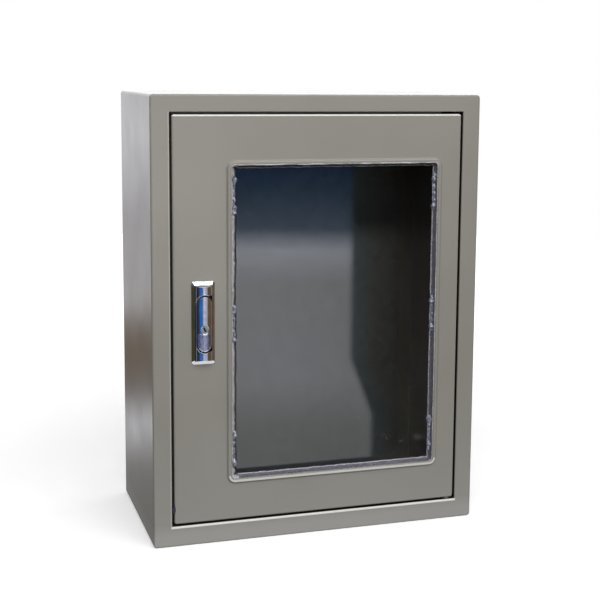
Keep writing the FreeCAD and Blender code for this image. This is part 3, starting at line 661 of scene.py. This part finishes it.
# Painted shadow: the glow is weaker near the box.
from_box = add(tree, "VectorMath", {0: place}, operation="LENGTH")
lit = add(tree, "MapRange", {"Value": from_box.outputs["Value"], "From Min": floor_near,
                             "From Max": floor_far, "To Min": 0.33, "To Max": 0.7})
add(tree, shader, {"Base Color": tone.outputs["Color"], "Roughness": 0.9, "Specular IOR Level": 0.1,
                   "Emission Color": tone.outputs["Color"], "Emission Strength": lit.outputs["Result"]})
floor.data.materials.append(opal)

# Softbox: one wide cloth-faced light above the front, aimed at the door. Polished faces don't
# mirror it, so that the bead and the chrome aren't bleached.

softbox_aim = Vector((-0.08, -0.10, 0.36))
softbox = bpy.data.lights.new("overhead_softbox", "AREA")
softbox.shape = "RECTANGLE"
softbox.size = 1.3
softbox.size_y = 0.7
softbox.energy = 11.5
lamp = bpy.data.objects.new("overhead_softbox", softbox)
lamp.location = (-0.15, -1.00, 1.08)
lamp.rotation_euler = (softbox_aim - lamp.location).to_track_quat("-Z", "Y").to_euler()
lamp.visible_camera = False
lamp.visible_glossy = False
bpy.context.scene.collection.objects.link(lamp)

# Surround: soft cards all round, placed by their turn (0 in front, plus to the right) and their
# rise above the horizon, in degrees. Polished faces mirror the cards, matt faces get plain soft
# light, and the eye sees white.

low_rise = math.radians(-24)
high_rise = math.radians(6)
world = bpy.data.worlds.new("studio_surround")
bpy.context.scene.world = world
world.use_nodes = True
tree = world.node_tree
direction = add(tree, "TexCoord", {}).outputs["Generated"]
way = add(tree, "SeparateXYZ", {0: direction})
front_y = add(tree, "Math", {0: way.outputs["Y"], 1: -1.0}, operation="MULTIPLY")
turn = add(tree, "Math", {0: way.outputs["X"], 1: front_y.outputs["Value"]}, operation="ARCTAN2")
turn = turn.outputs["Value"]
rise = add(tree, "Math", {0: way.outputs["Z"]}, operation="ARCSINE").outputs["Value"]
turn_share = add(tree, "MapRange", {"Value": turn, "From Min": -math.pi, "From Max": math.pi})
rise_share = add(tree, "MapRange", {"Value": rise, "From Min": low_rise, "From Max": high_rise})


def at_turn(degrees):
    """Place of a turn on a ramp that goes all round."""
    return (degrees + 180) / 360


def at_rise(degrees):
    """Place of a rise on a ramp from low_rise to high_rise."""
    return (math.radians(degrees) - low_rise) / (high_rise - low_rise)


def glow(r, g, b):
    """Strength of a card's light in red, green and blue, which may pass 1."""
    return (r, g, b, 1.0)


# Round the horizon: navy to the left, blue, pale in front, then olive, brown and maroon.
ring = add(tree, "ValToRGB", {"Fac": turn_share.outputs["Result"]}, stops=[
    (at_turn(-152), glow(0.02, 0.03, 0.10)), (at_turn(-74), glow(0.012, 0.02, 0.10)),
    (at_turn(-69), glow(0.055, 0.055, 0.022)),
    (at_turn(-56), glow(0.055, 0.055, 0.022)), (at_turn(-50), glow(0.02, 0.14, 0.50)),
    (at_turn(-16), glow(0.04, 0.17, 0.50)), (at_turn(-8), glow(0.50, 0.50, 0.62)),
    (at_turn(38), glow(0.45, 0.44, 0.52)), (at_turn(50), glow(0.13, 0.11, 0.05)),
    (at_turn(66), glow(0.10, 0.08, 0.03)), (at_turn(72), glow(0.17, 0.09, 0.05)),
    (at_turn(94), glow(0.15, 0.08, 0.045)), (at_turn(102), glow(0.05, 0.022, 0.02)),
    (at_turn(146), glow(0.10, 0.05, 0.04)), (at_turn(155), glow(1.6, 1.6, 1.7))])

# On the left the colours are only a band below the horizon, with plain grey above and below it.
band_low = add(tree, "MapRange", {"Value": rise, "From Min": math.radians(-15),
                                  "From Max": math.radians(-16.5)})
band_high = add(tree, "MapRange", {"Value": rise, "From Min": math.radians(-7.5),
                                   "From Max": math.radians(-6)})
off_band = add(tree, "Math", {0: band_low.outputs["Result"], 1: band_high.outputs["Result"]},
               operation="MAXIMUM")
on_left = add(tree, "MapRange", {"Value": turn, "From Min": math.radians(-8), "From Max": math.radians(-14)})
off_band = add(tree, "Math", {0: off_band.outputs["Value"], 1: on_left.outputs["Result"]},
               operation="MULTIPLY")
ring = add(tree, "MixRGB", {"Fac": off_band.outputs["Value"], "Color1": ring.outputs["Color"],
                            "Color2": glow(0.15, 0.155, 0.17)})

# A pale card in front at the height of the door's middle.
card_high = add(tree, "Math", {0: rise, 1: math.radians(-7), 2: math.radians(2.2)}, operation="COMPARE")
card_wide = add(tree, "Math", {0: turn, 1: math.radians(9), 2: math.radians(8)}, operation="COMPARE")
card = add(tree, "Math", {0: card_high.outputs["Value"], 1: card_wide.outputs["Value"]},
           operation="MULTIPLY")
ring = add(tree, "MixRGB", {"Fac": card.outputs["Value"], "Color1": ring.outputs["Color"],
                            "Color2": glow(2.4, 2.4, 2.5)})

# Behind on the right: dark below the horizon.
back_low = add(tree, "MapRange", {"Value": rise, "From Min": math.radians(-3),
                                  "From Max": math.radians(-7)}, interpolation_type="SMOOTHSTEP")
back = add(tree, "Math", {0: turn, 1: math.radians(135)}, operation="GREATER_THAN")
back_dark = add(tree, "Math", {0: back.outputs["Value"], 1: back_low.outputs["Result"]},
                operation="MULTIPLY")
ring = add(tree, "MixRGB", {"Fac": back_dark.outputs["Value"], "Color1": ring.outputs["Color"],
                            "Color2": glow(0.08, 0.04, 0.035)})

# Behind on the left: pale above, a dark warm band, a pale band near the floor.
behind = add(tree, "ValToRGB", {"Fac": rise_share.outputs["Result"]}, stops=[
    (at_rise(-20), glow(0.22, 0.21, 0.21)), (at_rise(-17.4), glow(0.26, 0.25, 0.25)),
    (at_rise(-15.8), glow(1.15, 1.15, 1.22)), (at_rise(-14.4), glow(0.18, 0.15, 0.14)),
    (at_rise(-12.6), glow(0.15, 0.085, 0.035)), (at_rise(-11.5), glow(0.20, 0.15, 0.11)),
    (at_rise(-10.5), glow(0.78, 0.75, 0.78)), (at_rise(-6.8), glow(0.68, 0.66, 0.70)),
    (at_rise(-3.2), glow(1.2, 1.2, 1.28)), (at_rise(0), glow(1.05, 1.05, 1.1)),
    (at_rise(3), glow(1.2, 1.2, 1.2))])
far_left = add(tree, "MapRange", {"Value": turn, "From Min": math.radians(-150),
                                  "From Max": math.radians(-158)}, interpolation_type="SMOOTHSTEP")
cards = add(tree, "MixRGB", {"Fac": far_left.outputs["Result"], "Color1": ring.outputs["Color"],
                             "Color2": behind.outputs["Color"]})

# A white card at the front's foot, a pale card overhead with a bright strip in it, and the ground.
foot_low = add(tree, "MapRange", {"Value": rise, "From Min": math.radians(-19.7),
                                  "From Max": math.radians(-20.5)}, interpolation_type="SMOOTHSTEP")
in_front = add(tree, "MapRange", {"Value": way.outputs["Y"], "From Min": -0.4, "From Max": -0.6})
foot = add(tree, "Math", {0: foot_low.outputs["Result"], 1: in_front.outputs["Result"]},
           operation="MULTIPLY")
cards = add(tree, "MixRGB", {"Fac": foot.outputs["Value"], "Color1": cards.outputs["Color"],
                             "Color2": glow(2.75, 2.8, 3.0)})
overhead = add(tree, "MapRange", {"Value": rise, "From Min": math.radians(33),
                                  "From Max": math.radians(40)}, interpolation_type="SMOOTHSTEP")
cards = add(tree, "MixRGB", {"Fac": overhead.outputs["Result"], "Color1": cards.outputs["Color"],
                             "Color2": glow(1.0, 1.0, 1.0)})
strip = add(tree, "Math", {0: rise, 1: math.radians(47), 2: math.radians(5)}, operation="COMPARE")
strip = add(tree, "Math", {0: strip.outputs["Value"], 1: in_front.outputs["Result"]}, operation="MULTIPLY")
cards = add(tree, "MixRGB", {"Fac": strip.outputs["Value"], "Color1": cards.outputs["Color"],
                             "Color2": glow(9.0, 9.0, 9.0)})
ground = add(tree, "MapRange", {"Value": rise, "From Min": math.radians(-26),
                                "From Max": math.radians(-34)}, interpolation_type="SMOOTHSTEP")
cards = add(tree, "MixRGB", {"Fac": ground.outputs["Result"], "Color1": cards.outputs["Color"],
                             "Color2": glow(0.9, 0.9, 0.9)})

# What goes through the window lights the inside from above, with one bright spot high on the left.
spot_way = (-0.60, -0.45, 0.66)

ray = add(tree, "LightPath", {})
through = add(tree, "MapRange", {"Value": way.outputs["Z"], "From Min": 0.05, "From Max": 0.8,
                                 "To Min": 0.015, "To Max": 0.5})
toward = add(tree, "VectorMath", {0: direction, 1: spot_way}, operation="DOT_PRODUCT")
bright_spot = add(tree, "MapRange", {"Value": toward.outputs["Value"], "From Min": 0.97, "From Max": 0.985,
                                     "To Max": 60.0})
through = add(tree, "Math", {0: through.outputs["Result"], 1: bright_spot.outputs["Result"]},
              operation="ADD")
cards = add(tree, "MixRGB", {"Fac": ray.outputs["Is Transmission Ray"], "Color1": cards.outputs["Color"],
                             "Color2": through.outputs["Value"]})

# Only the clear pane mirrors this card in front: navy above, wide and pale below, with a thin dark
# foot. Past its right edge, which leans, it is dark.
pane_card = add(tree, "ValToRGB", {"Fac": rise_share.outputs["Result"]}, stops=[
    (at_rise(-20), glow(1.5, 1.5, 1.5)), (at_rise(-16), glow(1.8, 1.8, 1.76)),
    (at_rise(-14), glow(2.6, 2.57, 2.65)), (at_rise(-9.6), glow(2.45, 2.47, 2.5)),
    (at_rise(-8.2), glow(3.4, 3.46, 3.77)), (at_rise(-7.2), glow(0.6, 0.77, 1.05)),
    (at_rise(-5.6), glow(0.23, 0.39, 0.64)), (at_rise(-3.8), glow(0.03, 0.10, 0.38)),
    (at_rise(0), glow(0.05, 0.10, 0.30)), (at_rise(5), glow(0.3, 0.35, 0.5))])
dim = add(tree, "MapRange", {"Value": turn, "From Min": math.radians(15.5), "From Max": math.radians(18.9),
                             "To Min": 1.0, "To Max": 0.87})
pane_card = add(tree, "MixRGB", {"Fac": 1.0, "Color1": pane_card.outputs["Color"],
                                 "Color2": dim.outputs["Result"]}, blend_type="MULTIPLY")
fall = add(tree, "Math", {0: way.outputs["Z"], 1: way.outputs["Y"]}, operation="DIVIDE")
card_foot = add(tree, "MapRange", {"Value": fall.outputs["Value"], "From Min": 0.3312, "From Max": 0.3326})
pane_card = add(tree, "MixRGB", {"Fac": card_foot.outputs["Result"], "Color1": pane_card.outputs["Color"],
                                 "Color2": glow(0.32, 0.35, 0.42)})
card_edge = add(tree, "MapRange", {"Value": rise, "From Min": math.radians(-13),
                                   "From Max": math.radians(-15.5), "To Min": math.radians(18.9),
                                   "To Max": math.radians(19.9)})
past_card = add(tree, "Math", {0: turn, 1: card_edge.outputs["Result"]}, operation="SUBTRACT")
card_side = add(tree, "MapRange", {"Value": past_card.outputs["Value"], "From Min": math.radians(-0.2),
                                   "From Max": math.radians(0.25)}, interpolation_type="SMOOTHSTEP")
beyond = add(tree, "MapRange", {"Value": past_card.outputs["Value"], "From Max": math.radians(2.5)})
beyond = add(tree, "ValToRGB", {"Fac": beyond.outputs["Result"]}, stops=[
    (0.1, glow(0.50, 0.57, 0.60)), (0.4, glow(0.39, 0.39, 0.33)), (0.64, glow(0.30, 0.29, 0.24)),
    (0.86, glow(0.22, 0.18, 0.135)), (1.0, glow(0.13, 0.105, 0.085))])
fade = add(tree, "ValToRGB", {"Fac": rise_share.outputs["Result"]}, stops=[
    (at_rise(-15.5), 0.6), (at_rise(-12.5), 1.0), (at_rise(-7.8), 1.0), (at_rise(-6.8), 0.25)])
beyond = add(tree, "MixRGB", {"Fac": 1.0, "Color1": beyond.outputs["Color"],
                              "Color2": fade.outputs["Color"]}, blend_type="MULTIPLY")
mirrored = add(tree, "MixRGB", {"Fac": card_side.outputs["Result"], "Color1": pane_card.outputs["Color"],
                                "Color2": beyond.outputs["Color"]})
near_left = add(tree, "MapRange", {"Value": turn, "From Min": math.radians(12.4),
                                   "From Max": math.radians(13.4)}, interpolation_type="SMOOTHSTEP")
near_right = add(tree, "MapRange", {"Value": turn, "From Min": math.radians(28),
                                    "From Max": math.radians(25)}, interpolation_type="SMOOTHSTEP")
near = add(tree, "Math", {0: near_left.outputs["Result"], 1: near_right.outputs["Result"]},
           operation="MULTIPLY")
in_pane = add(tree, "Math", {0: near.outputs["Value"], 1: ray.outputs["Is Singular Ray"]},
              operation="MULTIPLY")
cards = add(tree, "MixRGB", {"Fac": in_pane.outputs["Value"], "Color1": cards.outputs["Color"],
                             "Color2": mirrored.outputs["Color"]})

# Plain soft light for everything matt: weaker from below, the left and the top, stronger from the right.
height = add(tree, "MapRange", {"Value": way.outputs["Z"], "From Min": -0.25, "From Max": 0.35},
             interpolation_type="SMOOTHSTEP")
soft = add(tree, "ValToRGB", {"Fac": height.outputs["Result"]},
           stops=[(0.0, glow(0.23, 0.21, 0.175)), (1.0, glow(0.84, 0.84, 0.85))])
from_left = add(tree, "MapRange", {"Value": way.outputs["X"], "From Min": -0.7, "From Max": 0.2,
                                   "To Min": 0.6, "To Max": 1.0})
from_right = add(tree, "MapRange", {"Value": way.outputs["X"], "From Min": 0.45, "From Max": 0.95,
                                    "To Min": 1.0, "To Max": 1.6})
from_top = add(tree, "MapRange", {"Value": way.outputs["Z"], "From Min": 0.5, "From Max": 0.9,
                                  "To Min": 1.0, "To Max": 0.6})
for share in (from_left, from_right, from_top):
    soft = add(tree, "MixRGB", {"Fac": 1.0, "Color1": soft.outputs["Color"],
                                "Color2": share.outputs["Result"]}, blend_type="MULTIPLY")
mirror_ray = add(tree, "Math", {0: ray.outputs["Is Glossy Ray"], 1: ray.outputs["Is Transmission Ray"]},
                 operation="MAXIMUM")
seen = add(tree, "MixRGB", {"Fac": mirror_ray.outputs["Value"], "Color1": soft.outputs["Color"],
                            "Color2": cards.outputs["Color"]})
seen = add(tree, "MixRGB", {"Fac": ray.outputs["Is Camera Ray"], "Color1": seen.outputs["Color"],
                            "Color2": glow(1.0, 1.0, 1.0)})
add(tree, tree.nodes["Background"], {"Color": seen.outputs["Color"], "Strength": 1.0})
bpy.context.scene.view_settings.view_transform = "Standard"

# Camera: its lens, place and angles are fitted to the case's corners in the photograph, in
# pixels of a 600 by 600 picture, degrees and millimetres. Its small shift follows that framing.

picture = 600
focal_px = 1271.92
pan = math.radians(18.211)
tilt = math.radians(8.082)
roll = math.radians(-0.598)
stands_at = Vector((-422.4, -1439.69, 528.53)) * MM
middle_px = (336.27, 248.91)

ahead = Vector((math.sin(pan) * math.cos(tilt), math.cos(pan) * math.cos(tilt), -math.sin(tilt)))
level = Vector((math.cos(pan), -math.sin(pan), 0.0))
down = ahead.cross(level)
to_right = level * math.cos(roll) + down * math.sin(roll)
to_bottom = down * math.cos(roll) - level * math.sin(roll)
view = bpy.data.cameras.new("camera")
view.sensor_width = 36.0
view.lens = view.sensor_width * focal_px / picture
view.shift_x = (picture / 2 - middle_px[0]) / picture
view.shift_y = (middle_px[1] - picture / 2) / picture
camera = bpy.data.objects.new("camera", view)
columns = (to_right, -to_bottom, -ahead)
turn_by = Matrix([[c[i] for c in columns] for i in range(3)])
camera.matrix_world = Matrix.Translation(stands_at) @ turn_by.to_4x4()
bpy.context.scene.collection.objects.link(camera)
bpy.context.scene.camera = camera
